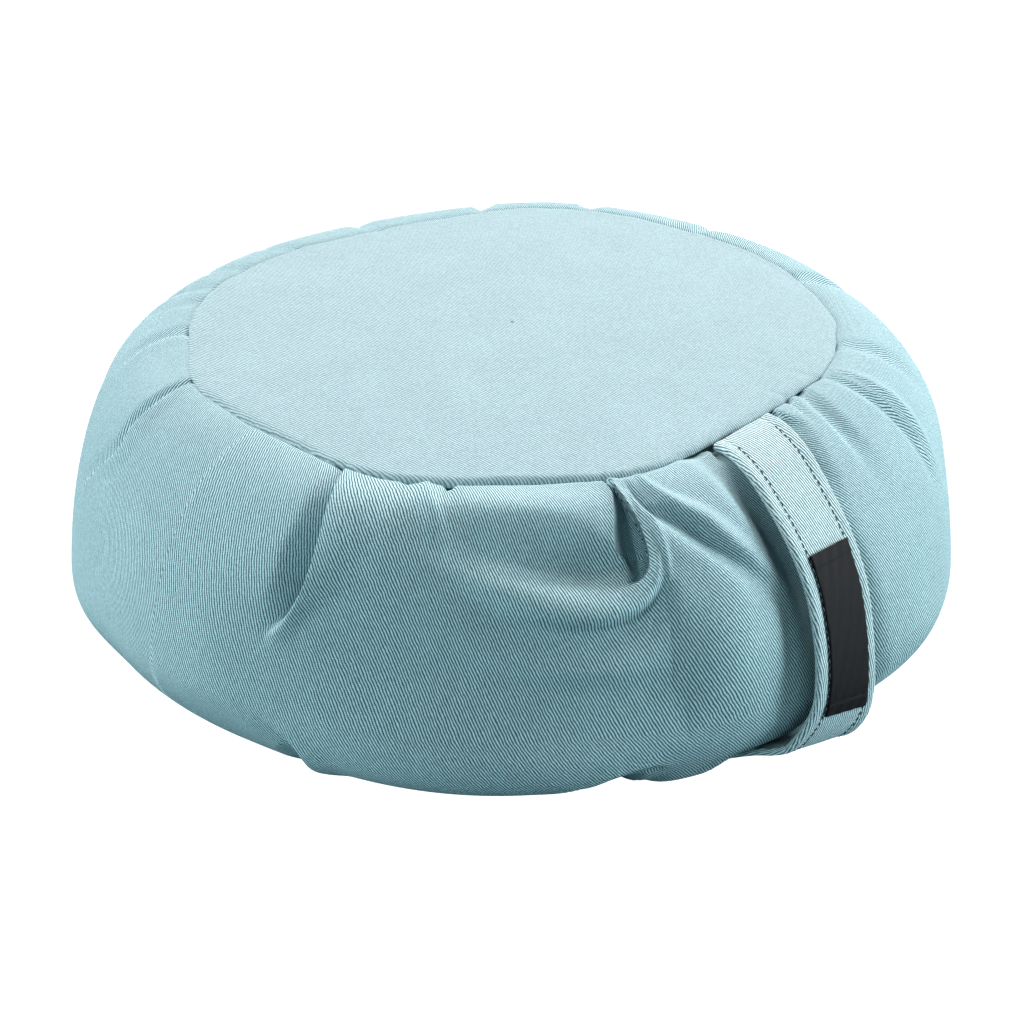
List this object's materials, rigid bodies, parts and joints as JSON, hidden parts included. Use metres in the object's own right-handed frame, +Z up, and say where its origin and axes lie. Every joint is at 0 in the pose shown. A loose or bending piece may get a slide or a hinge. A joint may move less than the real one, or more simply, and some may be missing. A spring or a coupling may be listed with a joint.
{
  "type": "zafu meditation cushion",
  "caption": "Round meditation cushion with domed top and bottom panels, a pleated side band, a strap handle and a bare woven label.",
  "frame": {"origin": "middle of the bottom panel, on the floor that the cushion stands on", "axes": "+Z up, -Y towards the strap handle"},
  "size_m": [0.3834, 0.3901, 0.15],
  "materials": {
    "twill": "matt cotton twill, pale duck-egg blue",
    "label_weave": "fine satin weave, charcoal black"
  },
  "bodies": {
    "root": {"side_band": "twill", "top_panel": "twill", "bottom_panel": "twill", "handle": "twill", "label": "label_weave"}
  },
  "joints": []
}
